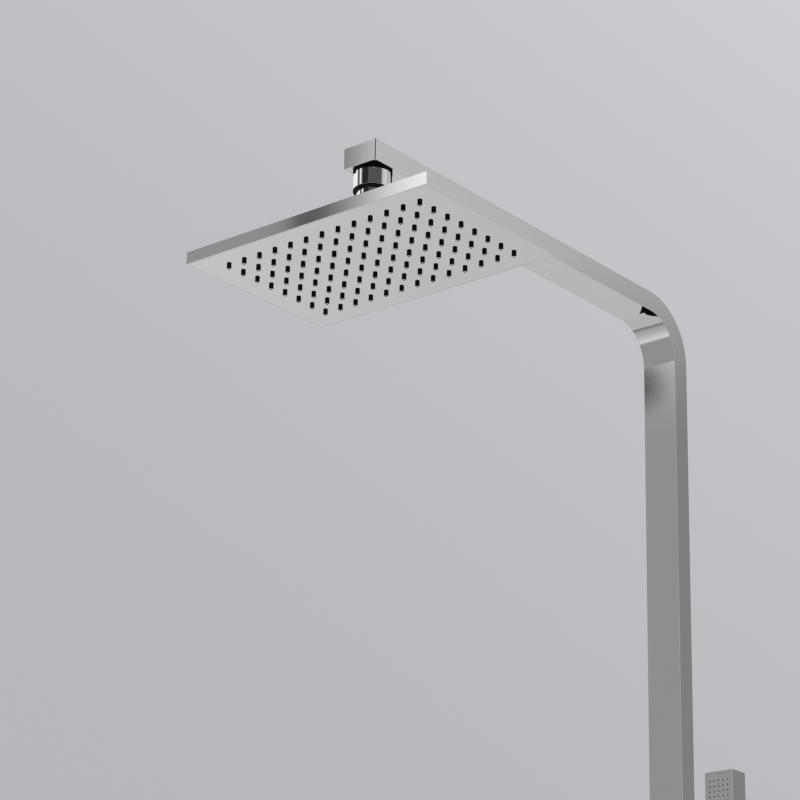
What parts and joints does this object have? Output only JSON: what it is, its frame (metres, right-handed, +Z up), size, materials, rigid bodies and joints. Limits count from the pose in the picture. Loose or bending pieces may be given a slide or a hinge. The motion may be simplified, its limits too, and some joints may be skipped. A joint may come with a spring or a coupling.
{
  "type": "shower column",
  "caption": "Wall-hung shower column: flat bent tube with arm, rectangular rain head on a ball joint, bar hand shower in a tilting side cradle, diverter block at the foot.",
  "frame": {"origin": "middle of the upper bracket's wall plate, in the plane of the finished wall", "axes": "+Z up along the column, +Y into the wall, +X to the right along the wall as seen from the room"},
  "size_m": [0.3, 0.6745, 1.149],
  "materials": {
    "polished_chrome": "mirror-polished chrome on brass",
    "polished_steel": "mirror-polished stainless sheet",
    "black_rubber": "smooth moulded rubber",
    "black_silicone": "smooth moulded silicone",
    "bare_brass": "machined",
    "white_acetal": "turned plastic",
    "zinc_steel": "zinc-plated steel",
    "chromed_plastic": "chrome-plated moulding",
    "grey_plastic": "moulded plastic",
    "hose_rubber": "extruded rubber hose"
  },
  "bodies": {
    "column": {"column_tube": "polished_chrome", "arm_tip_cap": "polished_chrome", "inner_supply_hose": "hose_rubber", "hose_ferrules": "zinc_steel", "arm_elbow": "bare_brass", "arm_washer": "black_rubber", "lock_nut": "polished_chrome", "cup_ring": "black_rubber", "ball_cup": "polished_chrome", "cup_bushing": "bare_brass", "upper_wall_plate": "zinc_steel", "upper_rosette": "polished_chrome", "upper_post": "polished_chrome", "post_grub_screw": "zinc_steel", "column_screw": "zinc_steel", "column_rivet_nut": "zinc_steel", "lower_block": "polished_chrome", "hose_barb": "bare_brass", "inlet_tail": "polished_chrome", "inlet_washer": "black_rubber", "inlet_cover": "polished_chrome", "diverter_cartridge": "grey_plastic", "cartridge_seal": "black_rubber", "valve_nut": "bare_brass", "hose_outlet": "polished_chrome", "check_valve_cage": "grey_plastic", "check_valve_flap": "black_rubber", "holder_boss": "polished_chrome", "holder_back_nut": "bare_brass", "holder_washer": "white_acetal"},
    "head_swivel_seat": {"upper_seat": "white_acetal"},
    "head_tilt_seat": {"lower_seat": "white_acetal"},
    "rain_head": {"ball_stem": "polished_chrome", "head_boss": "polished_chrome", "filter_washer": "black_rubber", "head_cover": "polished_steel", "mat_frame": "grey_plastic", "face_plate": "polished_steel", "nozzle_mat": "black_silicone"},
    "inlet_nut": {"union_nut": "polished_chrome"},
    "diverter": {"diverter_spindle": "bare_brass", "diverter_knob": "polished_chrome", "knob_grub_screw": "zinc_steel"},
    "holder": {"hand_cradle": "polished_chrome", "pivot_screw": "zinc_steel"},
    "hand_shower": {"hand_body": "chromed_plastic", "hand_face": "chromed_plastic", "hand_jet_mat": "black_silicone", "hand_inlet": "polished_chrome", "hand_filter": "white_acetal"}
  },
  "joints": [
    {"name": "head_swivel", "type": "hinge", "parent": "column", "child": "head_swivel_seat", "pos_m": [0, -0.5745, 0.678], "axis": [0, 0, 1], "continuous": true},
    {"name": "head_tilt_forward", "type": "hinge", "parent": "head_swivel_seat", "child": "head_tilt_seat", "pos_m": [0, -0.5745, 0.678], "axis": [1, 0, 0], "range_deg": [-10, 10]},
    {"name": "head_tilt_side", "type": "hinge", "parent": "head_tilt_seat", "child": "rain_head", "pos_m": [0, -0.5745, 0.678], "axis": [0, 1, 0], "range_deg": [-10, 10]},
    {"name": "inlet_nut_turn", "type": "hinge", "parent": "column", "child": "inlet_nut", "pos_m": [0, -0.01335, -0.36], "axis": [0, 1, 0], "continuous": true},
    {"name": "diverter_turn", "type": "hinge", "parent": "column", "child": "diverter", "pos_m": [0, -0.0885, -0.36], "axis": [0, -1, 0], "range_deg": [0, 90]},
    {"name": "holder_tilt", "type": "hinge", "parent": "column", "child": "holder", "pos_m": [0.0392, -0.068, 0], "axis": [1, 0, 0], "range_deg": [-8, 30]},
    {"name": "hand_shower_lift", "type": "slide", "parent": "holder", "child": "hand_shower", "axis": [0, 0, 1], "range_m": [0, 0.06]}
  ]
}
